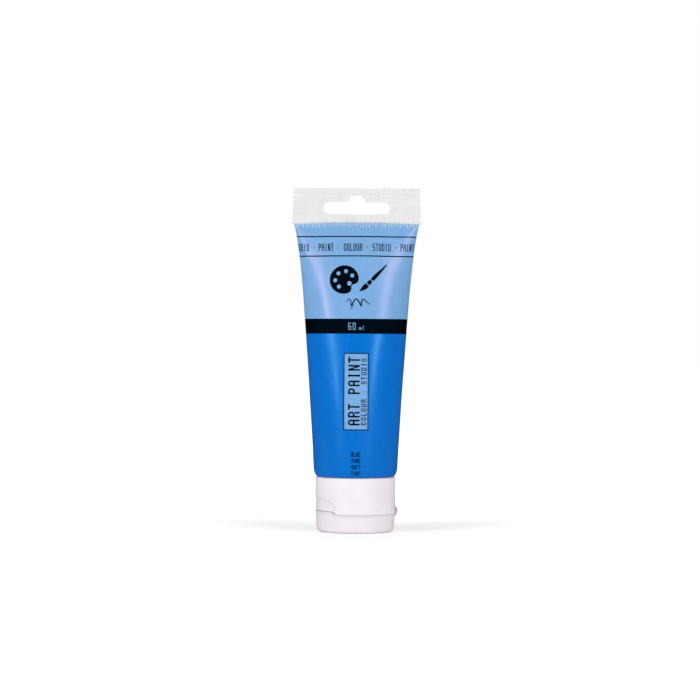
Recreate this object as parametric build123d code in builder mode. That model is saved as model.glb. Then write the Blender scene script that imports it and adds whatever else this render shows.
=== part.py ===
"""A 60 ml plastic paint tube that stands on its flip-top cap.

Millimetres. The origin is the centre of the lid's resting face, +Z runs up the tube to its
sealed end, X runs along the seal and the printed front faces -Y.
"""

from math import cos, radians, sin
import os

from build123d import *

os.makedirs("parts", exist_ok=True)

# Tube
tube_radius = 17.5
wall = 0.5
sleeve_bottom = 23.0
sleeve_round_top = 25.8
sleeve_lip_radius = 15.5
sleeve_foot_radius = 16.1
sleeve_foot_bulge = (17.05, 24.05)
seal_bottom = 128.5
seal_top = 143.0
seal_thickness = 1.0
seal_half_width_bottom = 27.0
seal_half_width_top = 26.4
width_growth = 6.9
width_growth_power = 1.15
width_flare = 1.8
width_flare_power = 9
depth_power = 1.7
depth_root = 0.58
section_count = 14
pressed_end_gap = 1.2
paint_gap = 0.1
paint_level = 92.5

# Hang slot in the end seal
slot_width = 27.7
slot_height = 5.2
slot_centre = 134.7
slot_bump_radius = 3.8
slot_bump_centre = 136.5
slot_corner = 0.8

# Head of the tube: shoulder disc and neck
shoulder_top = 24.7
neck_radius = 6.0
neck_bore = 4.25
neck_end = 10.5
bead_centre = 19.0
bead_height = 0.4
bead_half_length = 0.8
foil_thickness = 0.2

# Cap: the base that presses onto the neck
cap_yaw = 17.0
cap_radius = 16.7
cap_top = 22.8
cap_skirt_inner = 15.3
skirt_end = 7.65
deck_under = 8.9
deck_top = 10.1
collar_outer = 14.9
collar_inner = 13.7
collar_end = 5.9
socket_clearance = 0.08
socket_inner = neck_radius + socket_clearance
socket_outer = 7.3
socket_top = 21.0
spout_outer = 3.0
spout_bore = 1.6
spout_end = 4.8
rib_count = 6
rib_thickness = 0.9
rib_top = 17.0
weld_overlap = 0.3

# Thumb notch in the base, opposite the hinge
notch_turn = 180.0
notch_half_width = 11.4
notch_top = 14.6
notch_shoulder = 12.3
notch_corner = 1.5
notch_floor_radius = 16.35
notch_step_radius = 15.6
notch_step_top = 8.9
notch_backing_radius = 14.3
notch_backing_top = 16.4
notch_backing_slope = 1.0
notch_backing_half_angle = 47.0

# Lid
lid_radius = 16.3
lid_foot_radius = 16.1
lid_straight_from = 5.0
lid_top = 7.45
lid_inner = 15.2
lid_floor = 1.3
lid_foot_round = 2.2
pin_root_radius = 1.3
pin_tip_radius = 1.1
pin_end = 7.6
lip_inner = 15.85
lip_outer = 16.65
lip_bottom = 7.05
lip_top = 8.6
lip_half_angle = 39.0

# Snap hinge between the base and the lid
strap_half_angle = 15.5
strap_reach = 17.95
strap_thickness = 0.65
strap_middle = 8.3
strap_top = 10.7
strap_bottom = 5.7
strap_foot = 0.7
pocket_radius = 15.95
pocket_top = 9.9
pocket_bottom = 6.5
pocket_slope = 1.0
film_reach = 17.15
film_thickness = 0.3
film_inner_angle = 19.0
film_outer_angle = 25.0
film_top = 8.5
film_bottom = 6.5
film_middle = (film_top + film_bottom) / 2


def cap_section(turn=0.0):
    """The plane through the tube's axis at this angle from the hinge: radius to the right, height up."""
    angle = radians(cap_yaw + turn)
    return Plane(origin=(0, 0, 0), x_dir=(cos(angle), sin(angle), 0), z_dir=(sin(angle), -cos(angle), 0))


def cap_level(height):
    """A level plane whose x points from the tube's axis to the hinge."""
    angle = radians(cap_yaw)
    return Plane(origin=(0, 0, height), x_dir=(cos(angle), sin(angle), 0), z_dir=(0, 0, 1))


def share_of_height(height):
    """0 where the tube is round and 1 where its two sides are welded together."""
    return (height - sleeve_round_top) / (seal_bottom - sleeve_round_top)


def half_width(height):
    """Half the tube's width along X, which grows steadily and then flares just below the seal."""
    along = share_of_height(height)
    return tube_radius + width_growth * along**width_growth_power + width_flare * along**width_flare_power


def half_depth(height):
    """Half the tube's depth along Y, which falls to nothing at the seal as the girth stays the same."""
    return tube_radius * (1 - share_of_height(height) ** depth_power) ** depth_root


def section_heights(top):
    """Heights of the tube's sections, closer together towards the seal."""
    steps = [i / (section_count - 1) for i in range(section_count)]
    return [sleeve_round_top + (top - sleeve_round_top) * (2 * s - s * s) for s in steps]


def round_corner(inset):
    """The rounded lower corner of the sleeve, drawn this far inside its outer face."""
    start = Vector(sleeve_foot_radius, sleeve_bottom)
    middle = Vector(*sleeve_foot_bulge)
    end = Vector(tube_radius, sleeve_round_top)
    inward = Vector(-1, 1).normalized()
    return ThreePointArc(start + Vector(0, inset), middle + inward * inset, end - Vector(inset, 0))


def tube_body(inset, top):
    """The tube's hollow-free body from its round foot to this height, this far inside its outer face."""
    with BuildPart() as body:
        with BuildSketch(Plane.XZ):
            with BuildLine():
                corner = round_corner(inset)
                Polyline(corner @ 1, (0, sleeve_round_top), (0, sleeve_bottom + inset), corner @ 0)
            make_face()
        revolve(axis=Axis.Z)
        for height in section_heights(top):
            with BuildSketch(Plane.XY.offset(height)):
                depth = max(half_depth(height), seal_thickness / 2 + inset)
                Ellipse(half_width(height) - inset, depth - inset)
        loft()
    return body.part


# Tube ------------------------------------------------------------------------------------

sleeve_outside = tube_body(0, seal_bottom)
sleeve_inside = tube_body(wall, seal_bottom - pressed_end_gap)

with BuildPart() as sleeve:
    add(sleeve_outside)
    add(sleeve_inside, mode=Mode.SUBTRACT)
    with BuildSketch(Plane.XY.offset(sleeve_bottom)):
        Circle(sleeve_lip_radius)
    extrude(amount=wall, mode=Mode.SUBTRACT)
sleeve.part.label = "sleeve"
export_step(sleeve.part, "parts/sleeve.step")

with BuildPart() as end_seal:
    with BuildSketch(Plane.XZ):
        with BuildLine():
            Polyline(
                (-seal_half_width_bottom, seal_bottom),
                (seal_half_width_bottom, seal_bottom),
                (seal_half_width_top, seal_top),
                (-seal_half_width_top, seal_top),
                close=True,
            )
        make_face()
    extrude(amount=seal_thickness / 2, both=True)
    with BuildSketch(Plane.XZ) as hang_slot:
        with Locations((0, slot_centre)):
            SlotOverall(slot_width, slot_height)
        with Locations((0, slot_bump_centre)):
            Circle(slot_bump_radius)
        inner_corners = [
            v
            for v in hang_slot.vertices()
            if abs(v.Y - slot_centre - slot_height / 2) < 0.01 and abs(v.X) < slot_bump_radius
        ]
        fillet(inner_corners, slot_corner)
    extrude(amount=seal_thickness, both=True, mode=Mode.SUBTRACT)
end_seal.part.label = "end_seal"
export_step(end_seal.part, "parts/end_seal.step")

with BuildPart() as tube_head:
    with BuildSketch(Plane.XZ):
        with BuildLine():
            corner = round_corner(wall)
            Polyline(
                corner @ 1,
                (sleeve_lip_radius - wall, shoulder_top),
                (neck_bore, shoulder_top),
                (neck_bore, neck_end),
                (neck_radius, neck_end),
                (neck_radius, bead_centre - bead_half_length),
                (neck_radius + bead_height, bead_centre - bead_half_length / 3),
                (neck_radius + bead_height, bead_centre + bead_half_length / 3),
                (neck_radius, bead_centre + bead_half_length),
                (neck_radius, sleeve_bottom),
                (sleeve_lip_radius, sleeve_bottom),
                (sleeve_lip_radius, sleeve_bottom + wall),
                corner @ 0,
            )
        make_face()
    revolve(axis=Axis.Z)
tube_head.part.label = "tube_head"
export_step(tube_head.part, "parts/tube_head.step")

with BuildPart() as foil_seal:
    with BuildSketch(Plane.XY.offset(neck_end - foil_thickness)):
        Circle(neck_radius)
    extrude(amount=foil_thickness)
foil_seal.part.label = "foil_seal"
export_step(foil_seal.part, "parts/foil_seal.step")

paint_body = tube_body(wall + paint_gap, seal_bottom - pressed_end_gap)

with BuildPart() as paint:
    add(paint_body)
    split(bisect_by=Plane.XY.offset(paint_level), keep=Keep.BOTTOM)
    with BuildSketch(Plane.XZ):
        with BuildLine():
            Polyline(
                (tube_radius, sleeve_bottom),
                (tube_radius, sleeve_round_top),
                (tube_radius - wall, sleeve_round_top),
                (sleeve_lip_radius - wall, shoulder_top + paint_gap),
                (0, shoulder_top + paint_gap),
                (0, sleeve_bottom),
                close=True,
            )
        make_face()
    revolve(axis=Axis.Z, mode=Mode.SUBTRACT)
    with BuildSketch(Plane.XY.offset(neck_end + paint_gap)):
        Circle(neck_bore - paint_gap)
    extrude(amount=shoulder_top - neck_end)
paint.part.label = "paint"
export_step(paint.part, "parts/paint.step")

# Cap -------------------------------------------------------------------------------------

with BuildPart() as notch_cutter:
    with BuildSketch(Plane(origin=(0, 0, 0), x_dir=-cap_level(0).y_dir, z_dir=-cap_level(0).x_dir)):
        with BuildLine():
            arch = ThreePointArc(
                (-notch_half_width, notch_shoulder), (0, notch_top), (notch_half_width, notch_shoulder)
            )
            Polyline(arch @ 1, (notch_half_width, collar_end), (-notch_half_width, collar_end), arch @ 0)
        make_face()
        fillet(vertices().group_by(Axis.Y)[-1], notch_corner)
    extrude(amount=strap_reach)
    with BuildSketch(cap_section()):
        with BuildLine():
            Polyline(
                (notch_step_radius, collar_end),
                (strap_reach, collar_end),
                (strap_reach, cap_top),
                (notch_floor_radius, cap_top),
                (notch_floor_radius, notch_step_top),
                (notch_step_radius, notch_step_top),
                close=True,
            )
        make_face()
    revolve(axis=Axis.Z, mode=Mode.INTERSECT)

with BuildPart() as cap_base:
    with BuildSketch(cap_section()):
        with BuildLine():
            Polyline(
                (spout_bore, spout_end),
                (spout_outer, spout_end),
                (spout_outer, deck_under),
                (collar_inner, deck_under),
                (collar_inner, collar_end),
                (collar_outer, collar_end),
                (collar_outer, skirt_end),
                (cap_radius, skirt_end),
                (cap_radius, cap_top),
                (cap_skirt_inner, cap_top),
                (cap_skirt_inner, deck_top),
                (socket_outer, deck_top),
                (socket_outer, socket_top),
                (socket_inner, socket_top),
                (socket_inner, bead_centre + bead_half_length + socket_clearance),
                (socket_inner + bead_height, bead_centre + bead_half_length / 3 + socket_clearance),
                (socket_inner + bead_height, bead_centre - bead_half_length / 3 - socket_clearance),
                (socket_inner, bead_centre - bead_half_length - socket_clearance),
                (socket_inner, deck_top),
                (spout_bore, deck_top),
                close=True,
            )
        make_face()
    revolve(axis=Axis.Z)
    with BuildSketch(cap_level(deck_top)):
        with PolarLocations((socket_outer + cap_skirt_inner) / 2, rib_count, start_angle=180 / rib_count):
            Rectangle(cap_skirt_inner - socket_outer + weld_overlap, rib_thickness)
    extrude(amount=rib_top - deck_top)
    with BuildSketch(cap_section(notch_turn - notch_backing_half_angle)):
        with BuildLine():
            Polyline(
                (notch_backing_radius, deck_top),
                (cap_skirt_inner + weld_overlap, deck_top),
                (cap_skirt_inner + weld_overlap, notch_backing_top),
                (notch_backing_radius, notch_backing_top - notch_backing_slope),
                close=True,
            )
        make_face()
    revolve(axis=Axis.Z, revolution_arc=2 * notch_backing_half_angle)
    add(notch_cutter.part, mode=Mode.SUBTRACT)
    with BuildSketch(cap_section(-strap_half_angle)):
        with BuildLine():
            Polyline(
                (pocket_radius, pocket_bottom),
                (cap_radius, pocket_bottom),
                (cap_radius, pocket_top),
                (pocket_radius, pocket_top - pocket_slope),
                close=True,
            )
        make_face()
    revolve(axis=Axis.Z, revolution_arc=2 * strap_half_angle, mode=Mode.SUBTRACT)
cap_base.part.label = "cap_base"
export_step(cap_base.part, "parts/cap_base.step")

with BuildPart() as cap_lid:
    with BuildSketch(cap_section()):
        with BuildLine():
            Polyline(
                (0, 0),
                (lid_foot_radius, 0),
                (lid_radius, lid_straight_from),
                (lid_radius, lid_top),
                (lid_inner, lid_top),
                (lid_inner, lid_floor),
                (pin_root_radius, lid_floor),
                (pin_tip_radius, pin_end),
                (0, pin_end),
                close=True,
            )
        make_face()
    revolve(axis=Axis.Z)
    fillet(edges().filter_by(GeomType.CIRCLE).group_by(Axis.Z)[0], lid_foot_round)
    with BuildSketch(cap_section(notch_turn - lip_half_angle)):
        with BuildLine():
            Polyline(
                (lip_inner, lip_bottom),
                (lid_radius, lip_bottom),
                (lip_outer, lid_top),
                (lip_outer, lip_top),
                (lip_inner, lip_top),
                close=True,
            )
        make_face()
    revolve(axis=Axis.Z, revolution_arc=2 * lip_half_angle)
cap_lid.part.label = "cap_lid"
export_step(cap_lid.part, "parts/cap_lid.step")

with BuildPart() as hinge_strap:
    with BuildSketch(cap_section(-strap_half_angle)):
        with BuildLine():
            outer = ThreePointArc(
                (cap_radius, strap_top),
                (strap_reach, strap_middle),
                (lid_radius, strap_bottom),
            )
            inner = ThreePointArc(
                (cap_radius, strap_top - strap_foot),
                (strap_reach - strap_thickness, strap_middle),
                (lid_radius, strap_bottom + strap_foot),
            )
            Line(outer @ 0, inner @ 0)
            Line(outer @ 1, inner @ 1)
        make_face()
    revolve(axis=Axis.Z, revolution_arc=2 * strap_half_angle)
hinge_strap.part.label = "hinge_strap"
export_step(hinge_strap.part, "parts/hinge_strap.step")

with BuildPart() as hinge_films:
    for film_start in (film_inner_angle, -film_outer_angle):
        with BuildSketch(cap_section(film_start)):
            with BuildLine():
                outer = ThreePointArc(
                    (cap_radius, film_top),
                    (film_reach, film_middle),
                    (lid_radius, film_bottom),
                )
                inner = ThreePointArc(
                    (cap_radius, film_top - film_thickness),
                    (film_reach - film_thickness, film_middle),
                    (lid_radius, film_bottom + film_thickness),
                )
                Line(outer @ 0, inner @ 0)
                Line(outer @ 1, inner @ 1)
            make_face()
        revolve(axis=Axis.Z, revolution_arc=film_outer_angle - film_inner_angle)
hinge_films.part.label = "hinge_films"
export_step(hinge_films.part, "parts/hinge_films.step")

print(f"paint volume {paint.part.volume / 1000:.1f} ml")
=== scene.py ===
"""A 60 ml paint tube standing on its flip-top cap, finished for rendering.

Lengths are millimetres until a mesh is made, which turns them into metres. The frame is the CAD
part's: the origin under the lid, +Z up the tube, and the printed front facing -Y.
"""

import math

import bmesh
import bpy
import numpy as np
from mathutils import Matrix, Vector


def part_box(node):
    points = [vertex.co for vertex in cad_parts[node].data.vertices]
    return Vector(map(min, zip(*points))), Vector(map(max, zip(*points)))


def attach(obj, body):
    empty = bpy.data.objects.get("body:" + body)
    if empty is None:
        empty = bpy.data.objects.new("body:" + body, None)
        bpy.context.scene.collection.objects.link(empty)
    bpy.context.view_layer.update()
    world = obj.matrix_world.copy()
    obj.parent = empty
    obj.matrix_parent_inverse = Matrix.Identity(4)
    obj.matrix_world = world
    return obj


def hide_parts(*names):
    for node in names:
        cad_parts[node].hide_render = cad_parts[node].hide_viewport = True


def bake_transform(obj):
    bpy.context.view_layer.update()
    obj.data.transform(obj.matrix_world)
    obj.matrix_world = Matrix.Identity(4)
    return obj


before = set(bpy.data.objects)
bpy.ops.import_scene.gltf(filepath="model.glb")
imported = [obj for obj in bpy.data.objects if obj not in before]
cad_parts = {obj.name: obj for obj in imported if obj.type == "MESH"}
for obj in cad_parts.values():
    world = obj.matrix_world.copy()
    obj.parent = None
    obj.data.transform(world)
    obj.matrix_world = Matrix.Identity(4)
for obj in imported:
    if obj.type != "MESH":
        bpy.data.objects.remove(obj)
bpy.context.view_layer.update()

MM = 0.001


def box_mm(node):
    """A CAD node's lowest and highest corner, in millimetres."""
    low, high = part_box(node)
    return low / MM, high / MM


# Sizes taken from the CAD part
SLEEVE_LOW, SLEEVE_HIGH = box_mm("sleeve")
SEAL_LOW, SEAL_HIGH = box_mm("end_seal")

TUBE_RADIUS = SLEEVE_HIGH.y
GIRTH = 2 * math.pi * TUBE_RADIUS
FOOT = SLEEVE_LOW.z
FOOT_ROUND = 3.4
FOOT_RADIUS = 16.1
ROUND_TOP = FOOT + 2.8
SEAL = SEAL_LOW.z
SEAL_HALF_WIDTH = SEAL_HIGH.x
SEAL_HALF_THICKNESS = 0.45

# Print on the sleeve, as heights
NAVY_BAND = (82.2, 88.4)
LOWER_LINE = (114.2, 114.7)
UPPER_LINE = (122.4, 122.9)
PRINT_TOP = 128.7
TOOTH_PITCH = 1.4

# Cap, as radii and heights. CAP_YAW is the hinge's direction, counted from +X.
CAP_YAW = math.radians(17.0)
CAP_RADIUS = 16.7
CAP_TOP = 22.8
CAP_EDGE = 7.59
SKIRT_INSIDE = 15.3
DECK_UNDER, DECK_TOP = 8.9, 10.1
COLLAR_INSIDE, COLLAR_OUTSIDE, COLLAR_END = 13.7, 14.9, 5.9
SPOUT_BORE, SPOUT_OUTSIDE, SPOUT_END = 1.6, 3.0, 4.8
SOCKET_INSIDE, SOCKET_OUTSIDE, SOCKET_TOP = 6.08, 7.3, 21.0
NOTCH_HALF_WIDTH, NOTCH_TOP = 11.4, 14.6

# Lid
LID_RADIUS, LID_FOOT_RADIUS, LID_INSIDE = 16.3, 16.1, 15.2
LID_EDGE, LID_FLOOR = 7.5, 1.3
PIN_FOOT_RADIUS, PIN_RADIUS, PIN_TOP = 1.3, 1.1, 7.6

# Half the thickness of each kind of ink film: one that lies on another is thicker, so it shows
PANEL_INK, OUTLINE_INK, LETTER_INK = 0.015, 0.025, 0.03


# Mesh helpers ----------------------------------------------------------------------------


def new_object(name, vertices, faces, materials, smooth=True):
    """A mesh object from points in millimetres."""
    mesh = bpy.data.meshes.new(name)
    mesh.from_pydata((np.asarray(vertices) * MM).tolist(), [], faces)
    for material in materials:
        mesh.materials.append(material)
    mesh.validate()
    if smooth:
        mesh.shade_smooth()
    obj = bpy.data.objects.new(name, mesh)
    bpy.context.scene.collection.objects.link(obj)
    return obj


def grid_faces(rows, columns, closed=True):
    """Quads between rows of points, each row a closed ring unless told otherwise."""
    faces = []
    last = columns if closed else columns - 1
    for r in range(rows - 1):
        for c in range(last):
            d = (c + 1) % columns
            faces.append((r * columns + c, r * columns + d, (r + 1) * columns + d, (r + 1) * columns + c))
    return faces


def slab_faces(rows, columns):
    """Faces of a thin slab from its front's points, row by row, and then its back's."""
    width = columns + 1
    count = width * (rows + 1)
    sheet = grid_faces(rows + 1, width, closed=False)
    faces = sheet + [tuple(count + i for i in reversed(face)) for face in sheet]
    rim = list(range(width))
    rim += [r * width + columns for r in range(1, rows + 1)]
    rim += [rows * width + c for c in range(columns - 1, -1, -1)]
    rim += [r * width for r in range(rows - 1, 0, -1)]
    faces += [(b, a, count + a, count + b) for a, b in zip(rim, rim[1:] + rim[:1])]
    return faces


def face_outward(obj, merge_within=None):
    """Turns every face outward, after merging points closer than this many metres."""
    mesh = bmesh.new()
    mesh.from_mesh(obj.data)
    if merge_within:
        bmesh.ops.remove_doubles(mesh, verts=mesh.verts, dist=merge_within)
    bmesh.ops.recalc_face_normals(mesh, faces=mesh.faces)
    mesh.to_mesh(obj.data)
    mesh.free()


def sharpen(obj, degrees):
    """Smooth shading with creases kept where faces meet at more than this angle."""
    obj.data.shade_smooth()
    obj.data.set_sharp_from_angle(angle=math.radians(degrees))


def smooth_step(value, start, end):
    """0 up to start and 1 from end on, with a smooth rise between them."""
    t = np.clip((np.asarray(value, float) - start) / (end - start), 0, 1)
    return t * t * (3 - 2 * t)


# The sleeve's surface --------------------------------------------------------------------


def share_of_height(z):
    """0 where the tube is round and 1 where its two sides are welded together."""
    return np.clip((z - ROUND_TOP) / (SEAL - ROUND_TOP), 0, 1)


def half_width(z):
    """Grows evenly as the tube flattens, and faster just below the weld."""
    along = share_of_height(z)
    taper, flare, shoulder = 6.9, 1.8, 0.8
    width = TUBE_RADIUS + taper * along**1.15 + flare * along**9
    return width + shoulder * smooth_step(z, 127.8, 129.0) + ear(z)


def ear(z):
    """The weld squeezes a little plastic out at each side of its lower edge."""
    return 0.3 * np.exp(-(((z - SEAL - 0.4) / 0.5) ** 2))


def half_depth(z):
    """Shrinks to a little more than the weld's half thickness."""
    depth = TUBE_RADIUS * (1 - share_of_height(z) ** 1.7) ** 0.58
    return np.sqrt(depth**2 + (SEAL_HALF_THICKNESS + 0.08) ** 2 * smooth_step(z, 110, SEAL))


def squareness(z):
    """The superellipse's power: 2 is an ellipse, and less gives it a lens's sharp edges."""
    return 2.0 + 0.12 * smooth_step(z, 30, 60) - 0.3 * smooth_step(z, 80, 124)


def foot_scale(z):
    """How far the rounded foot draws in, as a share of the tube's radius."""
    drop = np.clip((FOOT + FOOT_ROUND - z) / FOOT_ROUND, 0, 1)
    radius = FOOT_RADIUS + (TUBE_RADIUS - FOOT_RADIUS) * (1 - drop**1.6) ** (1 / 1.6)
    return radius / TUBE_RADIUS


DENTS = [
    # (along the girth, height, spread along the girth, spread in height, depth)
    (-19.0, 118.0, 5.0, 9.0, 0.35),
    (18.0, 116.0, 6.0, 10.0, 0.30),
    (3.0, 112.0, 9.0, 7.0, -0.15),
    (-12.0, 70.0, 6.0, 14.0, 0.18),
    (14.0, 62.0, 5.0, 12.0, 0.16),
    (38.0, 104.0, 8.0, 12.0, 0.30),
    (-38.0, 98.0, 7.0, 14.0, 0.28),
    (52.0, 72.0, 9.0, 11.0, 0.22),
]


class TubeSurface:
    """Maps a point on the flat print, (distance along the girth, height), onto the tube."""

    ROW_STEP = 0.2
    COLUMNS = 2200

    def __init__(self):
        self.heights = np.arange(FOOT, SEAL + 0.8, self.ROW_STEP)
        angles = np.linspace(0, 2 * math.pi, 4096, endpoint=False) - math.pi
        stations = (np.arange(self.COLUMNS + 1) / self.COLUMNS - 0.5) * GIRTH
        self.table = np.zeros((len(self.heights), self.COLUMNS + 1, 3))
        for row, z in enumerate(self.heights):
            a, b = half_width(z) * foot_scale(z), half_depth(z) * foot_scale(z)
            power = 2 / squareness(z)
            s, c = np.sin(angles), np.cos(angles)
            x = a * np.sign(s) * np.abs(s) ** power
            y = -b * np.sign(c) * np.abs(c) ** power
            x, y = np.append(x, x[0]), np.append(y, y[0])
            length = np.concatenate([[0], np.cumsum(np.hypot(np.diff(x), np.diff(y)))])
            where = (stations / GIRTH + 0.5) * length[-1]
            self.table[row, :, 0] = np.interp(where, length, x)
            self.table[row, :, 1] = np.interp(where, length, y)
            self.table[row, :, 2] = z
        self.stations = stations
        self.table += self.normals(self.table) * self.relief()[..., None]

    def normals(self, table):
        """Unit normals of the table's points, from their neighbours."""
        around = np.roll(table[:, :-1], -1, 1) - np.roll(table[:, :-1], 1, 1)
        around = np.concatenate([around, around[:, :1]], 1)
        up = np.gradient(table, axis=0)
        normal = np.cross(around, up)
        return normal / np.linalg.norm(normal, axis=2, keepdims=True)

    def relief(self):
        """Dents, slow ripples and the sealing jaw's teeth, along the surface's normal."""
        ripple, tooth = 0.05, 0.11
        s, z = np.meshgrid(self.stations, self.heights)
        relief = np.zeros_like(s)
        for centre, height, across, tall, depth in DENTS:
            gap = (s - centre + GIRTH / 2) % GIRTH - GIRTH / 2
            relief -= depth * np.exp(-((gap / across) ** 2) - ((z - height) / tall) ** 2)
        body = smooth_step(z, 30, 45) * (1 - smooth_step(z, 118, 126))
        around = np.sin(s * 2 * math.pi / GIRTH * 5 + z * 0.11)
        relief += ripple * body * around * np.sin(z * 0.07 + 1.0)
        teeth = smooth_step(z, 126.7, 127.9)
        relief += tooth * teeth * np.cos(s * 2 * math.pi / tooth_pitch_around())
        return relief

    def point(self, s, z, lift=0.0):
        """Points on the tube for arrays of distances and heights, raised by lift along the normal."""
        s, z = np.asarray(s, float), np.asarray(z, float)
        column = ((s / GIRTH + 0.5) % 1.0) * self.COLUMNS
        row = np.clip((z - FOOT) / self.ROW_STEP, 0, len(self.heights) - 1.001)
        c0, r0 = np.minimum(column.astype(int), self.COLUMNS - 1), row.astype(int)
        fc, fr = (column - c0)[..., None], (row - r0)[..., None]
        corners = [self.table[r0 + i, c0 + j] for i in (0, 1) for j in (0, 1)]
        low = corners[0] * (1 - fc) + corners[1] * fc
        high = corners[2] * (1 - fc) + corners[3] * fc
        place = low * (1 - fr) + high * fr
        around = (corners[1] - corners[0]) * (1 - fr) + (corners[3] - corners[2]) * fr
        normal = np.cross(around, high - low)
        normal /= np.maximum(np.linalg.norm(normal, axis=-1, keepdims=True), 1e-9)
        return place + normal * np.asarray(lift)[..., None]


def tooth_pitch_around():
    """The tooth pitch, adjusted to fit the girth a whole number of times."""
    return GIRTH / round(GIRTH / TOOTH_PITCH)


# Materials -------------------------------------------------------------------------------


def principled(name, colour, roughness, **sockets):
    """A new material's node tree and shader, with its constant numbers on the shader itself."""
    material = bpy.data.materials.new(name)
    material.use_nodes = True
    shader = material.node_tree.nodes["Principled BSDF"]
    shader.inputs["Base Color"].default_value = (*colour, 1)
    shader.inputs["Roughness"].default_value = roughness
    for socket, value in sockets.items():
        shader.inputs[socket.replace("_", " ")].default_value = value
    return material, material.node_tree, shader


def add_noise(tree, size_mm, detail=2.0, stretch=(1, 1, 1)):
    """Noise whose features are about this many millimetres across."""
    where = tree.nodes.new("ShaderNodeTexCoord")
    mapping = tree.nodes.new("ShaderNodeMapping")
    mapping.inputs["Scale"].default_value = stretch
    noise = tree.nodes.new("ShaderNodeTexNoise")
    noise.inputs["Scale"].default_value = 1 / (size_mm * MM)
    noise.inputs["Detail"].default_value = detail
    tree.links.new(where.outputs["Object"], mapping.inputs["Vector"])
    tree.links.new(mapping.outputs["Vector"], noise.inputs["Vector"])
    return noise


def vary_colour(tree, shader, noise, dark, light):
    """Lets noise run the base colour from dark to light."""
    ramp = tree.nodes.new("ShaderNodeValToRGB")
    ramp.color_ramp.elements[0].position = 0.3
    ramp.color_ramp.elements[0].color = (*dark, 1)
    ramp.color_ramp.elements[1].position = 0.7
    ramp.color_ramp.elements[1].color = (*light, 1)
    tree.links.new(noise.outputs["Fac"], ramp.inputs["Fac"])
    tree.links.new(ramp.outputs["Color"], shader.inputs["Base Color"])


def vary_roughness(tree, shader, noise, low, high):
    """Lets noise run the roughness from low to high."""
    spread = tree.nodes.new("ShaderNodeMapRange")
    spread.inputs["From Min"].default_value = 0.3
    spread.inputs["From Max"].default_value = 0.7
    spread.inputs["To Min"].default_value = low
    spread.inputs["To Max"].default_value = high
    tree.links.new(noise.outputs["Fac"], spread.inputs["Value"])
    tree.links.new(spread.outputs["Result"], shader.inputs["Roughness"])


def add_bump(tree, shader, noise, height_mm, strength):
    """Lets noise raise the shading's normal as if by this many millimetres."""
    bump = tree.nodes.new("ShaderNodeBump")
    bump.inputs["Strength"].default_value = strength
    bump.inputs["Distance"].default_value = height_mm * MM
    tree.links.new(noise.outputs["Fac"], bump.inputs["Height"])
    tree.links.new(bump.outputs["Normal"], shader.inputs["Normal"])


def scaled(colour, factor):
    """A colour made darker or lighter."""
    return tuple(min(1.0, c * factor) for c in colour)


def printed_film(name, colour, roughness=0.26, gloss=0.5, sheen=(1, 1, 1)):
    """Ink under a satin varnish: even colour, a fine orange peel and faint handling marks."""
    material, tree, shader = principled(
        name, colour, roughness, IOR=1.48, Specular_IOR_Level=gloss, Specular_Tint=(*sheen, 1)
    )
    vary_colour(tree, shader, add_noise(tree, 9.0), scaled(colour, 0.97), scaled(colour, 1.03))
    marks = add_noise(tree, 14.0, 3.0, (1, 1, 0.35))
    vary_roughness(tree, shader, marks, roughness - 0.04, roughness + 0.05)
    add_bump(tree, shader, add_noise(tree, 0.9, 3.0), 0.012, 0.5)
    return material


def natural_film():
    """Unprinted, milky polyethylene."""
    colour = (0.74, 0.74, 0.745)
    material, tree, shader = principled(
        "natural_polyethylene",
        colour,
        0.42,
        IOR=1.5,
        Subsurface_Weight=0.35,
        Subsurface_Scale=0.0012,
        Subsurface_Radius=(1.0, 1.0, 1.0),
    )
    vary_colour(tree, shader, add_noise(tree, 2.2, 3.0), scaled(colour, 0.96), colour)
    vary_roughness(tree, shader, add_noise(tree, 5.0), 0.36, 0.48)
    add_bump(tree, shader, add_noise(tree, 0.35, 2.0), 0.01, 0.5)
    return material


def cap_plastic():
    """White moulded polypropylene, slightly translucent, with a fine satin skin, and a painted pink cast of
    warm bounce light.
    """
    # Painted light: the pink in this white is warm bounce light painted into the colour.
    colour = (0.97, 0.86, 0.93)
    material, tree, shader = principled(
        "white_polypropylene",
        colour,
        0.33,
        IOR=1.49,
        Subsurface_Weight=0.6,
        Subsurface_Scale=0.0025,
        Subsurface_Radius=(1.0, 0.85, 0.9),
    )
    vary_colour(tree, shader, add_noise(tree, 6.0), scaled(colour, 0.98), colour)
    vary_roughness(tree, shader, add_noise(tree, 4.0, 3.0), 0.28, 0.38)
    add_bump(tree, shader, add_noise(tree, 0.5, 2.0), 0.006, 0.5)
    return material


def wet_paint():
    """The paint itself, glossy and a little lumpy."""
    colour = (0.004, 0.085, 0.42)
    material, tree, shader = principled("blue_paint", colour, 0.2, IOR=1.5)
    vary_colour(tree, shader, add_noise(tree, 5.0), scaled(colour, 0.9), scaled(colour, 1.1))
    add_bump(tree, shader, add_noise(tree, 3.0), 0.1, 0.4)
    return material


def brushed_foil():
    """Dull metal with fine marks across it."""
    material, tree, shader = principled("sealing_foil", (0.82, 0.82, 0.81), 0.34, Metallic=1.0)
    vary_roughness(tree, shader, add_noise(tree, 1.0, 3.0, (1, 8, 1)), 0.28, 0.45)
    add_bump(tree, shader, add_noise(tree, 0.7, 3.0), 0.03, 0.6)
    return material


LIGHT_BLUE = (0.182, 0.385, 0.685)
DEEP_BLUE = (0.0003, 0.152, 0.59)
# Paler blue laid on the crests of the sealing jaw's teeth, near the top of the print.
PALE_CREST_BLUE = (0.42, 0.53, 0.68)
NAVY = (0.0002, 0.0016, 0.005)

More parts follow.
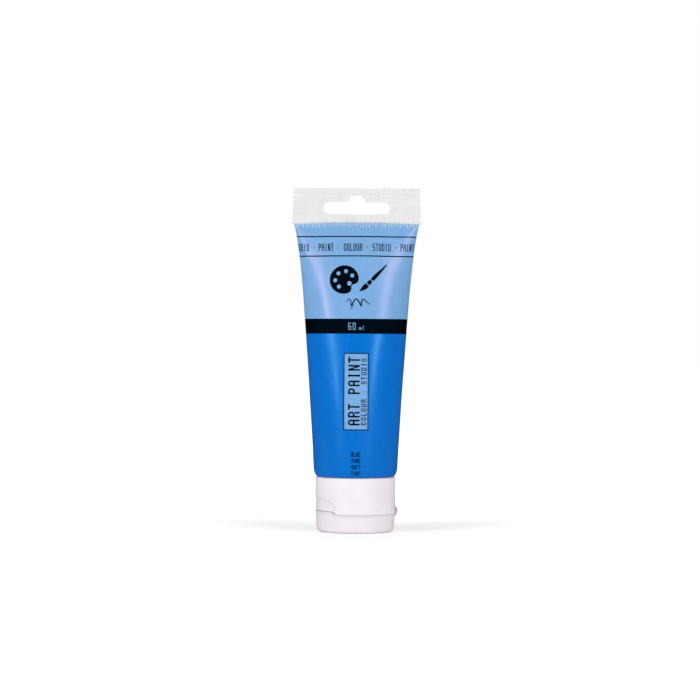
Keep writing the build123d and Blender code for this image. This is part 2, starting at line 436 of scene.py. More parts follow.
MATERIALS = {
    "light_blue": printed_film("light_blue_ink", LIGHT_BLUE, sheen=(0.9, 0.5, 0.6)),
    "deep_blue": printed_film("deep_blue_ink", DEEP_BLUE, sheen=(0.28, 0.8, 1.0)),
    "navy": printed_film("navy_ink", NAVY, 0.6, gloss=0.05, sheen=(0.2, 0.8, 1.0)),
    "pale_crest": printed_film("pale_crest_blue_ink", PALE_CREST_BLUE, 0.34),
    "natural": natural_film(),
    "cap": cap_plastic(),
    "paint": wet_paint(),
    "foil": brushed_foil(),
}

SLEEVE_MATERIALS = [MATERIALS[name] for name in ("light_blue", "deep_blue", "navy", "pale_crest", "natural")]
LIGHT, DEEP, DARK, PALE_CREST, BARE = range(len(SLEEVE_MATERIALS))


# The sleeve and its sealed end -----------------------------------------------------------

tube = TubeSurface()


def sleeve_heights():
    """Row heights: fine at the foot and at the seal, with a row on every edge of the print."""
    coarse, fine, fine_from = 1.6, 0.2, 126.0
    foot = [FOOT + FOOT_ROUND * (1 - math.cos(math.radians(a))) for a in range(0, 91, 9)]
    body = []
    knots = [FOOT + FOOT_ROUND, *NAVY_BAND, *LOWER_LINE, *UPPER_LINE, fine_from]
    for low, high in zip(knots, knots[1:]):
        steps = max(1, round((high - low) / coarse))
        body += [low + (high - low) * i / steps for i in range(1, steps + 1)]
    top = [fine_from + fine * i for i in range(1, int((SEAL + 0.5 - fine_from) / fine) + 1)]
    return foot + body + top


def sleeve_colour(z, print_end, ridge_start):
    """The material at a height, where the ink turns paler blue on the tooth crests above ridge_start and
    ends at print_end.
    """
    if z > print_end:
        return BARE
    if z > ridge_start:
        return PALE_CREST
    if UPPER_LINE[0] < z < UPPER_LINE[1] or LOWER_LINE[0] < z < LOWER_LINE[1]:
        return DARK
    if NAVY_BAND[0] < z < NAVY_BAND[1]:
        return DARK
    return LIGHT if z > NAVY_BAND[1] else DEEP


def make_sleeve():
    """The printed tube, closed at both ends, with its colours as bands of faces."""
    columns = round(GIRTH / tooth_pitch_around()) * 8
    heights = sleeve_heights()
    stations = (np.arange(columns) / columns - 0.5) * GIRTH
    s, z = np.meshgrid(stations, heights)
    points = tube.point(s, z).reshape(-1, 3)
    faces = grid_faces(len(heights), columns)
    faces.append(tuple(range(columns))[::-1])
    faces.append(tuple((len(heights) - 1) * columns + c for c in range(columns)))
    obj = new_object("printed_sleeve", points, faces, SLEEVE_MATERIALS)

    rng = np.random.default_rng(7)
    teeth = np.cos((stations + GIRTH / columns / 2) * 2 * math.pi / tooth_pitch_around())
    print_ends = PRINT_TOP + rng.normal(0, 0.12, columns)
    # Columns on the teeth's crests turn paler blue from a ragged height upward.
    ridge_starts = np.where(teeth > 0.1, PRINT_TOP - 1.8 + rng.normal(0, 0.35, columns), SEAL_HIGH.z)
    colours = []
    for low, high in zip(heights, heights[1:]):
        middle = (low + high) / 2
        colours += [sleeve_colour(middle, *ends) for ends in zip(print_ends, ridge_starts)]
    colours += [DEEP, BARE]
    obj.data.polygons.foreach_set("material_index", colours)
    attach(obj, "tube")
    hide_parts("sleeve")
    return obj


def seal_half_width(z):
    """The weld narrows a little towards the tube's end."""
    return SEAL_HALF_WIDTH - 0.6 * (z - SEAL) / (SEAL_HIGH.z - SEAL) + ear(z)


def hang_slot_cutter():
    """The euro slot as a prism: a bar with round ends and a round bump on top."""
    bar_half, bar_radius, bar_centre = 13.85, 2.6, 134.7
    bump_radius, bump_centre, corner = 3.8, 136.5, 0.8
    outline = []

    def arc(cx, cz, radius, start, end, steps):
        """Adds an arc to the outline, between two angles in degrees."""
        for i in range(steps + 1):
            angle = math.radians(start + (end - start) * i / steps)
            outline.append((cx + radius * math.cos(angle), cz + radius * math.sin(angle)))

    arc(bar_half - bar_radius, bar_centre, bar_radius, -90, 90, 18)
    shoulder = bar_centre + bar_radius
    corner_x = math.sqrt((bump_radius + corner) ** 2 - (shoulder + corner - bump_centre) ** 2)
    turn = math.degrees(math.atan2(shoulder + corner - bump_centre, corner_x))
    arc(corner_x, shoulder + corner, corner, -90, turn - 180, 8)
    arc(0, bump_centre, bump_radius, turn, 180 - turn, 24)
    arc(-corner_x, shoulder + corner, corner, -turn, -90, 8)
    arc(-(bar_half - bar_radius), bar_centre, bar_radius, 90, 270, 18)
    count = len(outline)
    points = [(x, y, z) for y in (-3, 3) for x, z in outline]
    faces = [tuple(range(count)), tuple(range(2 * count - 1, count - 1, -1))]
    faces += [(i, count + i, count + (i + 1) % count, (i + 1) % count) for i in range(count)]
    cutter = new_object("slot_cutter", points, faces, [], smooth=False)
    face_outward(cutter)
    return cutter


def make_end_seal():
    """The welded end: a thin plate, embossed on both sides with a fine waffle, with the slot cut out."""
    pitch_x, pitch_z = 1.4, 1.7
    columns, rows = 300, 72
    bottom, top = SEAL - 0.4, SEAL_HIGH.z
    across = np.linspace(-1, 1, columns + 1)
    heights = np.linspace(bottom, top, rows + 1)
    u, z = np.meshgrid(across, heights)
    x = u * seal_half_width(z)
    edge = np.minimum(1, (1 - np.abs(u)) * 40) * smooth_step(top - z, 0, 0.5)
    upright = np.cos(x * 2 * math.pi / pitch_x) ** 3
    level = np.cos(z * 2 * math.pi / pitch_z) ** 3
    rng = np.random.default_rng(11)
    uneven = 0.5 + 0.5 * rng.random((rows + 1, columns + 1))
    relief = 0.10 + 0.08 * smooth_step(131.2 - z, 0, 1.2)
    waffle = np.maximum(upright, level * smooth_step(z, 129.5, 131))
    half = SEAL_HALF_THICKNESS - 0.1 + relief * edge * waffle * uneven
    half *= np.where(edge > 0, 1.0, 0.82)
    bow = 0.25 * np.sin(x / 27 * math.pi * 0.8 + 0.4) * smooth_step(z, SEAL, top)
    front = np.stack([x, bow - half, z], -1).reshape(-1, 3)
    back = np.stack([x, bow + half, z], -1).reshape(-1, 3)
    points = np.concatenate([front, back])
    obj = new_object("welded_end", points, slab_faces(rows, columns), [MATERIALS["natural"]])
    cutter = hang_slot_cutter()
    cut = obj.modifiers.new("slot", "BOOLEAN")
    cut.operation = "DIFFERENCE"
    cut.solver = "EXACT"
    cut.object = cutter
    apply_modifiers(obj)
    bpy.data.objects.remove(cutter)
    sharpen(obj, 40)
    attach(obj, "tube")
    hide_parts("end_seal")
    return obj


def apply_modifiers(obj):
    """Replaces an object's mesh by what its modifiers make of it."""
    graph = bpy.context.evaluated_depsgraph_get()
    mesh = bpy.data.meshes.new_from_object(obj.evaluated_get(graph))
    old = obj.data
    obj.modifiers.clear()
    obj.data = mesh
    bpy.data.meshes.remove(old)


# The cap ---------------------------------------------------------------------------------


def rounded_profile(corners, steps=4):
    """A closed (radius, height) outline from corners that are (radius, height, rounding)."""
    outline = []
    for i, (r, z, rounding) in enumerate(corners):
        here = Vector((r, z))
        before = Vector(corners[i - 1][:2]) - here
        after = Vector(corners[(i + 1) % len(corners)][:2]) - here
        if not rounding:
            outline.append(tuple(here))
            continue
        half = before.angle(after) / 2
        reach = rounding / math.tan(half)
        start, end = here + before.normalized() * reach, here + after.normalized() * reach
        for k in range(steps + 1):
            t = k / steps
            outline.append(tuple((1 - t) ** 2 * start + 2 * t * (1 - t) * here + t**2 * end))
    return outline


def refine(outline, longest):
    """Splits an outline's sides until none is longer than longest(r, z) lets it be."""
    fine = []
    for a, b in zip(outline, outline[1:] + outline[:1]):
        gap = math.dist(a, b)
        limit = longest((a[0] + b[0]) / 2, (a[1] + b[1]) / 2)
        steps = max(1, math.ceil(gap / limit))
        for k in range(steps):
            fine.append((a[0] + (b[0] - a[0]) * k / steps, a[1] + (b[1] - a[1]) * k / steps))
    return fine


def cap_angles():
    """Angles from the hinge, finer across the thumb notch and the strap's pocket than elsewhere."""
    notch, pocket, fine, coarse = 50.0, 20.0, 0.5, 1.5
    half = [*np.arange(0, pocket, fine), *np.arange(pocket, 180 - notch, coarse)]
    half += [*np.arange(180 - notch, 180, fine)]
    degrees = [-180.0, *(-angle for angle in half[:0:-1]), *half]
    return np.radians(degrees)


def revolve(name, outline, turned, shape, materials):
    """Revolves a closed outline about the tube's axis, to angles turned from the hinge.

    shape(angle, r, z) gives each point's own radius and height.
    """
    columns = len(turned)
    r = np.array([p[0] for p in outline])[:, None] * np.ones(columns)
    z = np.array([p[1] for p in outline])[:, None] * np.ones(columns)
    angle = np.ones((len(outline), 1)) * turned
    r, z = shape(angle, r, z)
    world = angle + CAP_YAW
    points = np.stack([r * np.cos(world), r * np.sin(world), z], -1).reshape(-1, 3)
    rows = len(outline)
    faces = grid_faces(rows, columns)
    last = (rows - 1) * columns
    faces += [(last + c, last + (c + 1) % columns, (c + 1) % columns, c) for c in range(columns)]
    obj = new_object(name, points, faces, materials)
    face_outward(obj, merge_within=1e-7)
    return obj


def from_front(angle):
    """How far an angle from the hinge is from the point opposite the hinge, where the notch is."""
    return np.abs(np.angle(np.exp(1j * (angle - math.pi))))


def within(away, half_width, edge):
    """1 less than this many degrees away and 0 beyond, with a soft edge inside the limit."""
    return smooth_step(math.radians(half_width) - away, 0, math.radians(edge))


def notch_inside(angle, z):
    """Distance inside the thumb notch's arched outline."""
    away = from_front(angle)
    u = CAP_RADIUS * np.sin(np.minimum(away, math.pi / 2))
    arch, corner = 2.3, 2.0
    side_gap = NOTCH_HALF_WIDTH - u
    top_gap = NOTCH_TOP - arch * (u / NOTCH_HALF_WIDTH) ** 2 - z
    cx, cz = np.maximum(corner - side_gap, 0), np.maximum(corner - top_gap, 0)
    inside = np.where((cx > 0) & (cz > 0), corner - np.hypot(cx, cz), np.minimum(side_gap, top_gap))
    return np.where(away < math.pi / 2, inside, -1.0)


def notch_depth(angle, z):
    """The notch is a shallow scoop, and at its foot it steps in behind the lid's lip."""
    inside = notch_inside(angle, z)
    scoop = 0.38 * smooth_step(inside, -0.05, 0.3) * (1 - 0.5 * smooth_step(inside, 1.0, 6.0))
    step = 0.75 * smooth_step(inside, 0.0, 0.5) * smooth_step(8.9 - z, 0, 0.2)
    return scoop + step


def make_cap_base():
    """The cap's body: skirt, socket, deck with its spout, thumb notch and the strap's pocket."""
    corners = [
        (SPOUT_BORE, SPOUT_END, 0.2),
        (SPOUT_OUTSIDE, SPOUT_END, 0.3),
        (SPOUT_OUTSIDE, DECK_UNDER, 0.3),
        (COLLAR_INSIDE, DECK_UNDER, 0.3),
        (COLLAR_INSIDE, COLLAR_END, 0.3),
        (COLLAR_OUTSIDE, COLLAR_END, 0.35),
        (COLLAR_OUTSIDE, CAP_EDGE, 0.12),
        (CAP_RADIUS, CAP_EDGE, 0.12),
        (CAP_RADIUS, CAP_TOP, 0.7),
        (SKIRT_INSIDE, CAP_TOP, 0.2),
        (SKIRT_INSIDE, DECK_TOP, 0.3),
        (SOCKET_OUTSIDE, DECK_TOP, 0.3),
        (SOCKET_OUTSIDE, SOCKET_TOP, 0.2),
        (SOCKET_INSIDE, SOCKET_TOP, 0.2),
        (SOCKET_INSIDE, DECK_TOP, 0.1),
        (SPOUT_BORE, DECK_TOP, 0.1),
    ]

    def longest(r, z):
        """Short sides only on the outer wall, where the notch and the pocket are."""
        if r < CAP_RADIUS - 0.3 or z > 16.5:
            return 3.0
        return 0.15 if z < 9.5 else 0.22

    def shape(angle, r, z):
        """Presses the notch and the pocket into the outer wall."""
        on_wall = smooth_step(r, 15.9, 16.3)
        depth = notch_depth(angle, z)
        pocket = within(np.abs(angle), 16.0, 0.8)
        pocket = pocket * smooth_step(z, 7.0, 7.6) * smooth_step(10.0 - z, 0, 0.5)
        return r - on_wall * np.maximum(depth, 0.7 * pocket), z

    outline = refine(rounded_profile(corners), longest)
    obj = revolve("flip_top_base", outline, cap_angles(), shape, [MATERIALS["cap"]])
    sharpen(obj, 50)
    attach(obj, "cap")
    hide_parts("cap_base")
    return obj


def make_cap_lid():
    """The lid: a shallow cup with its sealing pin, a rounded foot and a raised lip for the thumb."""
    corners = [
        (0, 0, 0),
        (LID_FOOT_RADIUS, 0, 2.2),
        (LID_RADIUS, 5.0, 0),
        (LID_RADIUS, LID_EDGE, 0.12),
        (LID_INSIDE, LID_EDGE, 0.12),
        (LID_INSIDE, LID_FLOOR, 0.6),
        (PIN_FOOT_RADIUS, LID_FLOOR, 0.4),
        (PIN_RADIUS, PIN_TOP, 0.4),
        (0, PIN_TOP, 0),
    ]

    def longest(r, z):
        """Short sides only near the edge, where the lip and the pocket are."""
        return 0.5 if r > 15.0 and z > 5.5 else 2.5

    def shape(angle, r, z):
        """Raises the lip and presses the pocket in."""
        lip = within(from_front(angle), 40.0, 4.0)
        rise = smooth_step(r, 15.85, 16.0) * smooth_step(z, 6.4, 7.3)
        proud = 0.35 * lip * smooth_step(r, 15.85, 16.1) * smooth_step(z, 6.7, 7.1)
        pocket = within(np.abs(angle), 16.0, 0.8)
        pocket = pocket * smooth_step(r, 15.9, 16.2) * smooth_step(z, 6.2, 6.6)
        return r + proud - 0.3 * pocket, z + 1.15 * lip * rise

    outline = refine(rounded_profile(corners), longest)
    obj = revolve("flip_top_lid", outline, cap_angles(), shape, [MATERIALS["cap"]])
    sharpen(obj, 50)
    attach(obj, "lid")
    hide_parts("cap_lid")
    return obj


def bowed_strip(name, middle, half_angle, base_end, crown, lid_end, thickness, waist=0.0):
    """A strip that bows outward from the base's wall to the lid's, swept about the tube's axis.

    Its ends and its crown are (radius, height). It thins towards its ends, and waist is the share of
    its width that it loses half-way.
    """
    steps_up, steps_round = 24, 20
    points = []
    for side in (0, 1):
        for i in range(steps_up + 1):
            t = i / steps_up
            pull = 2 * crown[0] - (base_end[0] + lid_end[0]) / 2
            r = (1 - t) ** 2 * base_end[0] + 2 * t * (1 - t) * pull
            r += t**2 * lid_end[0] - side * thickness * (0.35 + 0.65 * math.sin(math.pi * t))
            z = base_end[1] + (lid_end[1] - base_end[1]) * t
            reach = half_angle * (1 - waist * math.sin(math.pi * t))
            for k in range(steps_round + 1):
                angle = CAP_YAW + middle + reach * (2 * k / steps_round - 1)
                points.append((r * math.cos(angle), r * math.sin(angle), z))
    obj = new_object(name, points, slab_faces(steps_up, steps_round), [MATERIALS["cap"]])
    face_outward(obj)
    sharpen(obj, 40)
    return obj


def make_hinge():
    """The snap strap and the two living-hinge films."""
    base_end, crown, lid_end = (16.75, 10.6), (17.95, 8.2), (16.3, 5.8)
    strap = bowed_strip("snap_strap", 0.0, math.radians(15.0), base_end, crown, lid_end, 0.65, waist=0.12)
    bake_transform(strap)
    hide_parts("hinge_strap")
    base_end, crown, lid_end = (16.72, 8.5), (17.1, 7.5), (16.3, 6.5)
    films = []
    for side, middle in (("left", math.radians(22.0)), ("right", math.radians(-22.0))):
        film = bowed_strip(f"hinge_film_{side}", middle, math.radians(3.0), base_end, crown, lid_end, 0.3)
        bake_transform(film)
        films.append(film)
    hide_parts("hinge_films")
    return [strap, *films]


# Print -----------------------------------------------------------------------------------

# Letters as five rows of five cells, whose outer and middle columns are the stems. A slash fills
# the half of its cell that faces the letter's middle. An N gets a slanted bar of its own as well.
LETTERS = {
    "A": ("/###\\", "#   #", "#####", "#   #", "#   #"),
    "B": ("####\\", "#   #", "#####", "#   #", "####/"),
    "C": ("/###\\", "#   #", "#    ", "#   #", "\\###/"),
    "D": ("####\\", "#   #", "#   #", "#   #", "####/"),
    "E": ("#####", "#    ", "#### ", "#    ", "#####"),
    "F": ("#####", "#    ", "#### ", "#    ", "#    "),
    "I": (" ### ", "  #  ", "  #  ", "  #  ", " ### "),
    "L": ("#    ", "#    ", "#    ", "#    ", "#####"),
    "N": ("#   #", "#   #", "#   #", "#   #", "#   #"),
    "O": ("/###\\", "#   #", "#   #", "#   #", "\\###/"),
    "P": ("####\\", "#   #", "####/", "#    ", "#    "),
    "R": ("####\\", "#   #", "####/", "#   #", "#   #"),
    "S": ("/####", "#    ", "#####", "    #", "####/"),
    "T": ("#####", "  #  ", "  #  ", "  #  ", "  #  "),
    "U": ("#   #", "#   #", "#   #", "#   #", "\\###/"),
    "0": ("#####", "#   #", "#   #", "#   #", "#####"),
    "6": ("#####", "#    ", "#####", "#   #", "#####"),
    "m": ("     ", "     ", "####\\", "# # #", "# # #"),
    "l": ("  #  ", "  #  ", "  #  ", "  #  ", "  #  "),
    "-": ("     ", "     ", " ### ", "     ", "     "),
}


def cell_edges(length, stroke):
    """Six edges across a letter: stroke, gap, stroke, gap, stroke."""
    gap = (length - 3 * stroke) / 2
    widths = (stroke, gap, stroke, gap, stroke)
    return [sum(widths[:i]) for i in range(6)]


def letter(character, width, height, stroke):
    """One condensed letter, flat, with its lower left corner at zero."""
    flat = bmesh.new()
    xs, ys = cell_edges(width, stroke), cell_edges(height, stroke * 1.05)
    corners = {}

    def corner(column, row):
        if (column, row) not in corners:
            corners[column, row] = flat.verts.new((xs[column], ys[row], 0))
        return corners[column, row]

    for line, cells in enumerate(LETTERS[character]):
        row = 4 - line
        for column, cell in enumerate(cells):
            if cell == " ":
                continue
            ring = [(column, row), (column + 1, row), (column + 1, row + 1), (column, row + 1)]
            if cell != "#":
                far = max(ring, key=lambda c: abs(c[0] - 2.5) + abs(c[1] - 2.5))
                ring.remove(far)
            flat.faces.new([corner(*c) for c in ring])
    if character == "N":
        left, right = stroke, width - stroke
        bar = [(left, height), (left, 0.62 * height), (right, 0), (right, 0.38 * height)]
        flat.faces.new([flat.verts.new((x, y, 0)) for x, y in bar])
    return flat


def monospaced(characters, pitch, width, height, stroke):
    """A line of condensed letters on an even pitch, starting at x = 0."""
    line = bmesh.new()
    for index, character in enumerate(characters):
        if character == " ":
            continue
        glyph = letter(character, width, height, stroke)
        left = index * pitch + (pitch - width) / 2
        bmesh.ops.translate(glyph, verts=glyph.verts, vec=(left, 0, 0))
        merge_into(line, glyph)
    return line


def filled(loops):
    """The flat area inside closed loops of points, where a loop inside another is a hole."""
    curve = bpy.data.curves.new("shape", "CURVE")
    curve.dimensions = "2D"
    curve.fill_mode = "BOTH"
    for loop in loops:
        spline = curve.splines.new("POLY")
        spline.points.add(len(loop) - 1)
        for point, (x, y) in zip(spline.points, loop):
            point.co = (x, y, 0, 1)
        spline.use_cyclic_u = True
    carrier = bpy.data.objects.new("shape", curve)
    bpy.context.scene.collection.objects.link(carrier)
    bpy.context.view_layer.update()
    mesh = bpy.data.meshes.new_from_object(carrier)
    flat = bmesh.new()
    flat.from_mesh(mesh)
    bmesh.ops.remove_doubles(flat, verts=flat.verts, dist=1e-5)
    bpy.data.objects.remove(carrier)
    bpy.data.curves.remove(curve)
    bpy.data.meshes.remove(mesh)
    return flat


def extent(flat):
    """The lowest and highest x, then y, of a flat mesh."""
    xs = [v.co.x for v in flat.verts]
    ys = [v.co.y for v in flat.verts]
    return min(xs), max(xs), min(ys), max(ys)


def circle(x, y, radius):
    """A ring of points."""
    steps = 28
    turns = [2 * math.pi * i / steps for i in range(steps)]
    return [(x + radius * math.cos(t), y + radius * math.sin(t)) for t in turns]


def stroke_outline(path, widths):
    """The outline of a brush stroke along a path, with a width at each of its points."""
    left, right = [], []
    for i, ((x, y), width) in enumerate(zip(path, widths)):
        (x0, y0), (x1, y1) = path[max(i - 1, 0)], path[min(i + 1, len(path) - 1)]
        length = math.hypot(x1 - x0, y1 - y0)
        nx, ny = -(y1 - y0) / length * width / 2, (x1 - x0) / length * width / 2
        left.append((x + nx, y + ny))
        right.append((x - nx, y - ny))
    return left + right[::-1]


def merge_into(target, source):
    """Copies one flat mesh into another and frees the first."""
    mesh = bpy.data.meshes.new("merge")
    source.to_mesh(mesh)
    source.free()
    target.from_mesh(mesh)
    bpy.data.meshes.remove(mesh)


def place(flat, s, z, turn=0.0):
    """Turns a flat mesh by this many degrees, then moves its origin to (s, z) on the print."""
    cosine, sine = math.cos(math.radians(turn)), math.sin(math.radians(turn))
    for vertex in flat.verts:
        x, y = vertex.co.x, vertex.co.y
        vertex.co = (s + x * cosine - y * sine, z + x * sine + y * cosine, 0)
    return flat


def wrap(name, flat, material, lift=LETTER_INK):
    """Lays a flat mesh on the tube as a closed ink film, which reaches this far out and in."""
    left, right, low, high = extent(flat)
    across, upward = Vector((1, 0, 0)), Vector((0, 1, 0))
    for normal, start, end, step in ((across, left, right, 0.7), (upward, low, high, 2.5)):
        cut = math.ceil(start / step) * step
        while cut < end:
            geometry = flat.verts[:] + flat.edges[:] + flat.faces[:]
            bmesh.ops.bisect_plane(flat, geom=geometry, dist=1e-6, plane_co=normal * cut, plane_no=normal)
            cut += step
    bmesh.ops.triangulate(flat, faces=flat.faces[:])
    for face in flat.faces:
        if face.normal.z < 0:
            face.normal_flip()
    bottom = flat.faces[:]
    grown = bmesh.ops.extrude_face_region(flat, geom=bottom)
    top = {element for element in grown["geom"] if isinstance(element, bmesh.types.BMVert)}
    flat.verts.index_update()
    is_top = np.array([vertex in top for vertex in flat.verts])
    flatness = np.array([(vertex.co.x, vertex.co.y) for vertex in flat.verts])
    lifts = np.where(is_top, lift, -lift)
    points = tube.point(flatness[:, 0], flatness[:, 1], lifts) * MM
    for vertex, point in zip(flat.verts, points):
        vertex.co = point
    bmesh.ops.recalc_face_normals(flat, faces=flat.faces)
    mesh = bpy.data.meshes.new(name)
    flat.to_mesh(mesh)
    flat.free()
    mesh.materials.append(material)
    obj = bpy.data.objects.new(name, mesh)
    bpy.context.scene.collection.objects.link(obj)
    sharpen(obj, 40)
    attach(obj, "tube")
    return obj


def four_corners(flat, left, right, low, high):
    """Adds a rectangle's corners to a flat mesh."""
    corners = ((left, low), (right, low), (right, high), (left, high))
    return [flat.verts.new((x, y, 0)) for x, y in corners]


def rectangle(left, right, low, high):
    """A flat rectangle."""
    flat = bmesh.new()
    flat.faces.new(four_corners(flat, left, right, low, high))
    return flat


def frame_outline(left, right, low, high, line):
    """Four bars round a rectangle, inside its edges."""
    flat = bmesh.new()
    outside = four_corners(flat, left, right, low, high)
    inside = four_corners(flat, left + line, right - line, low + line, high - line)
    for i in range(4):
        j = (i + 1) % 4
        flat.faces.new((outside[i], outside[j], inside[j], inside[i]))
    return flat


def print_panel(kind, left, right, low, high):
    """A light panel with a dark outline."""
    fill = rectangle(left, right, low, high)
    outline = frame_outline(left, right, low, high, 0.38)
    wrap(f"{kind}_fill", fill, MATERIALS["light_blue"], PANEL_INK)
    wrap(f"{kind}_outline", outline, MATERIALS["navy"], OUTLINE_INK)


def print_top_band():
    """Words between the two thin lines, repeated round the tube on an even pitch."""
    phrase = "PAINT - COLOUR - STUDIO - "
    repeats = round(GIRTH / 1.36 / len(phrase))
    pitch = GIRTH / (repeats * len(phrase))
    line = monospaced(phrase * repeats, pitch, 1.06, 3.2, 0.33)
    wrap("band_letters", place(line, -GIRTH / 2 + 1.2, 116.5), MATERIALS["navy"])


def print_volume():
    """The content, on the navy band."""
    mark = monospaced("60", 1.85, 1.2, 2.95, 0.26)
    merge_into(mark, place(monospaced("ml", 1.25, 1.0, 1.8, 0.2), 4.63, 0))
    wrap("volume_mark", place(mark, -3.65, 83.8), MATERIALS["light_blue"])


def print_box():
    """The upright label box with its two lines of letters, which read from the bottom up."""
    left, right, low, high = -5.05, 5.05, 42.6, 74.3
    print_panel("box", left, right, low, high)
    large = monospaced("ART PAINT", 3.2, 2.35, 4.7, 0.7)
    wrap("box_title", place(large, 1.5, low + 1.6, 90), MATERIALS["navy"])
    small = monospaced("COLOUR - STUDIO", 1.86, 1.25, 2.2, 0.37)
    wrap("box_subtitle", place(small, 4.25, low + 1.8, 90), MATERIALS["navy"])


def print_foot_lines():
    """Four short words, one above the other, near the foot."""
    lines = bmesh.new()
    for row, word in enumerate(("BLUE", "TONE", "SOFT", "TINT")):
        word_line = monospaced(word, 0.98, 0.84, 1.8, 0.27)
        merge_into(lines, place(word_line, -1.95, 31.8 - 2.62 * row))
    wrap("foot_lines", lines, MATERIALS["navy"])


def print_palette():
    """A plain sign for art materials: a palette with its wells, and a brush beside it."""
    outline = []
    for i in range(72):
        t = 2 * math.pi * i / 72
        waist = 1 - 0.34 * math.exp(-(((t - 5.5) / 0.34) ** 2))
        outline.append((6.3 * math.cos(t) * waist, 5.9 * math.sin(t) * waist))
    loops = [outline, circle(2.0, -1.9, 0.95)]
    for i in range(5):
        t = math.radians(20 + 52 * i)
        loops.append(circle(3.9 * math.cos(t), 3.5 * math.sin(t), 0.85))
    wrap("palette_sign", place(filled(loops), -5.3, 104.6, 8), MATERIALS["navy"])

    brush = bmesh.new()
    handle = stroke_outline([(0, 0), (1.4, 0), (4.8, 0), (9.4, 0)], (1.25, 1.7, 1.2, 0.45))
    ferrule = [(-2.3, -0.95), (-0.4, -0.7), (-0.4, 0.7), (-2.3, 0.95)]
    bristles = stroke_outline([(-7.0, 0.3), (-5.6, 0.2), (-4.2, 0), (-2.7, 0)], (0.15, 1.3, 2.1, 1.8))
    for part in (handle, ferrule, bristles):
        merge_into(brush, filled([part]))
    wrap("brush_sign", place(brush, 6.6, 104.4, 44), MATERIALS["navy"])


def print_swash():
    """A loose brush line under the palette."""
    steps, length, height = 63, 9.4, 2.3
    path, widths = [], []
    for i in range(steps + 1):
        t = i / steps
        rise = height * math.sin(17 * t + 0.4) * (1 - 0.6 * t) + 1.2 * t
        path.append((length * t - 4.2 + 0.6 * math.sin(14 * t), rise))
        widths.append(0.24 + 0.3 * math.sin(math.pi * t) ** 0.6)
    wrap("swash", place(filled([stroke_outline(path, widths)]), 0, 94.3), MATERIALS["navy"])


def print_back_panel():
    """A guessed panel at the back: bars in place of small print, and plain upright bars under them."""
    back = GIRTH / 2
    left, right, low, high = back - 12.0, back + 12.0, 33.0, 74.0
    margin, bar_pitch, bar_height, code_half = 2.0, 2.3, 0.9, 8.5
    print_panel("back", left, right, low, high)
    rng = np.random.default_rng(5)
    bars = bmesh.new()
    for row in range(10):
        top = high - 2.6 - bar_pitch * row
        reach = right - margin - (0 if row % 4 else 7.0) - 1.5 * rng.random()
        merge_into(bars, rectangle(left + margin, reach, top - bar_height, top))
    s = back - code_half
    while s < back + code_half:
        width = 0.3 + 0.5 * rng.random()
        merge_into(bars, rectangle(s, s + width, low + 3.0, low + 12.0))
        s += width + 0.35 + 0.4 * rng.random()
    wrap("back_bars", bars, MATERIALS["navy"])


def make_print():
    """All the print that lies on the tube as films of its own."""
    print_top_band()
    print_palette()
    print_swash()
    print_volume()
    print_box()
    print_foot_lines()
    print_back_panel()


# Stage, lights and camera ----------------------------------------------------------------


def make_floor():
    """A pale floor. To the camera it glows more away from the tube, so that only the tube's shadow shows."""
    size, height = 6000, -0.03
    pale = (0.93, 0.93, 0.935)
    material, tree, shader = principled("studio_floor", pale, 0.6, Emission_Color=(1, 1, 1, 1))
    vary_roughness(tree, shader, add_noise(tree, 60.0), 0.55, 0.65)
    # Painted light: the floor glows though it is no lamp. It glows faintly onto the tube and, to the camera,
    # more the further it lies from the tube.
    path = tree.nodes.new("ShaderNodeLightPath")
    glow = tree.nodes.new("ShaderNodeMapRange")
    glow.inputs["To Min"].default_value = 0.12
    where = tree.nodes.new("ShaderNodeTexCoord")
    reach = tree.nodes.new("ShaderNodeVectorMath")
    reach.operation = "LENGTH"
    fade = tree.nodes.new("ShaderNodeMapRange")
    fade.inputs["From Min"].default_value = 0.02
    fade.inputs["From Max"].default_value = 0.3
    fade.inputs["To Min"].default_value = 0.2
    fade.inputs["To Max"].default_value = 0.8
    tree.links.new(where.outputs["Object"], reach.inputs[0])
    tree.links.new(reach.outputs["Value"], fade.inputs["Value"])
    tree.links.new(fade.outputs["Result"], glow.inputs["To Max"])
    tree.links.new(path.outputs["Is Camera Ray"], glow.inputs["Value"])
    tree.links.new(glow.outputs["Result"], shader.inputs["Emission Strength"])
    points = [(x, y, height) for x, y in ((-size, -size), (size, -size), (size, size), (-size, size))]
    floor = new_object("studio_floor", points, [(0, 1, 2, 3)], [material], smooth=False)
    floor.visible_glossy = False
    material.cycles.emission_sampling = "NONE"


def softbox(name, azimuth, elevation, distance, width, height, power, roll=0.0):
    """A rectangular lamp aimed at the tube's middle. Azimuth 0 is at the camera, and 90 is on +X."""
    tube_middle = Vector((0, 0, 75))
    data = bpy.data.lights.new(name, "AREA")
    data.shape = "RECTANGLE"
    data.size, data.size_y = width * MM, height * MM
    data.energy = power
    lamp = bpy.data.objects.new(name, data)
    a, e = math.radians(azimuth), math.radians(elevation)
    out = Vector((math.sin(a) * math.cos(e), -math.cos(a) * math.cos(e), math.sin(e)))
    lamp.location = (tube_middle + out * distance) * MM
    lamp.rotation_euler = out.to_track_quat("Z", "Y").to_euler()
    lamp.rotation_euler.rotate_axis("Z", math.radians(roll))
    bpy.context.scene.collection.objects.link(lamp)


def soft_sun(strength):
    """A very soft light from overhead, even over the whole floor."""
    data = bpy.data.lights.new("overhead", "SUN")
    data.energy = strength
    data.angle = math.radians(100)
    lamp = bpy.data.objects.new("overhead", data)
    bpy.context.scene.collection.objects.link(lamp)


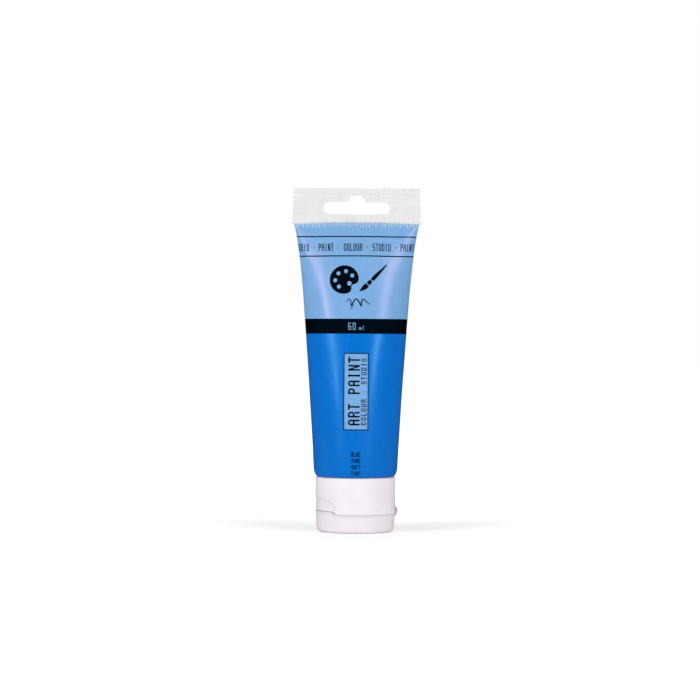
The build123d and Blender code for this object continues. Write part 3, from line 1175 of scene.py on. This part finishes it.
def make_lights():
    """Two narrow softboxes for the streaks down the tube, one behind it, and light from above."""
    softbox("left_softbox", -47, 23, 900, 50, 660, 3.3, roll=30)
    softbox("right_softbox", 41, 23, 900, 50, 660, 2.9, roll=-38)
    softbox("rear_softbox", 180, 30, 1100, 500, 500, 1.5)
    soft_sun(0.5)


def make_world():
    """White to the camera, almost dark in reflections, and a soft fill for everything else."""
    to_camera, in_reflections, fill = 1.0, 0.03, 0.35
    world = bpy.data.worlds.new("studio")
    world.use_nodes = True
    tree = world.node_tree
    background = tree.nodes["Background"]
    path = tree.nodes.new("ShaderNodeLightPath")
    plain = tree.nodes.new("ShaderNodeMapRange")
    plain.inputs["To Min"].default_value = fill
    plain.inputs["To Max"].default_value = to_camera
    glossy = tree.nodes.new("ShaderNodeMapRange")
    glossy.inputs["To Max"].default_value = in_reflections
    tree.links.new(path.outputs["Is Camera Ray"], plain.inputs["Value"])
    tree.links.new(path.outputs["Is Glossy Ray"], glossy.inputs["Value"])
    tree.links.new(plain.outputs["Result"], glossy.inputs["To Min"])
    tree.links.new(glossy.outputs["Result"], background.inputs["Strength"])
    background.inputs["Color"].default_value = (1, 1, 1, 1)
    world.cycles.sampling_method = "NONE"
    bpy.context.scene.world = world
    bpy.context.scene.view_settings.view_transform = "Standard"


def make_camera():
    """Level with the middle of the tube, straight at its front, from a little under a metre."""
    data = bpy.data.cameras.new("camera")
    data.sensor_width = 36
    data.lens = 113
    data.clip_start, data.clip_end = 0.05, 20
    camera = bpy.data.objects.new("camera", data)
    camera.location = Vector((-2.55, -917, 75.5)) * MM
    camera.rotation_euler = (math.radians(90), math.radians(-0.3), 0)
    bpy.context.scene.collection.objects.link(camera)
    bpy.context.scene.camera = camera


def finish_inner_parts():
    """Materials for the CAD pieces that stay as they are, inside the tube and the cap."""
    for node, material in (("tube_head", "natural"), ("foil_seal", "foil"), ("paint", "paint")):
        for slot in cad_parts[node].material_slots:
            slot.link = "OBJECT"
            slot.material = MATERIALS[material]


make_camera()
make_lights()
make_world()
make_floor()
make_sleeve()
make_end_seal()
make_cap_base()
make_cap_lid()
make_hinge()
make_print()
finish_inner_parts()
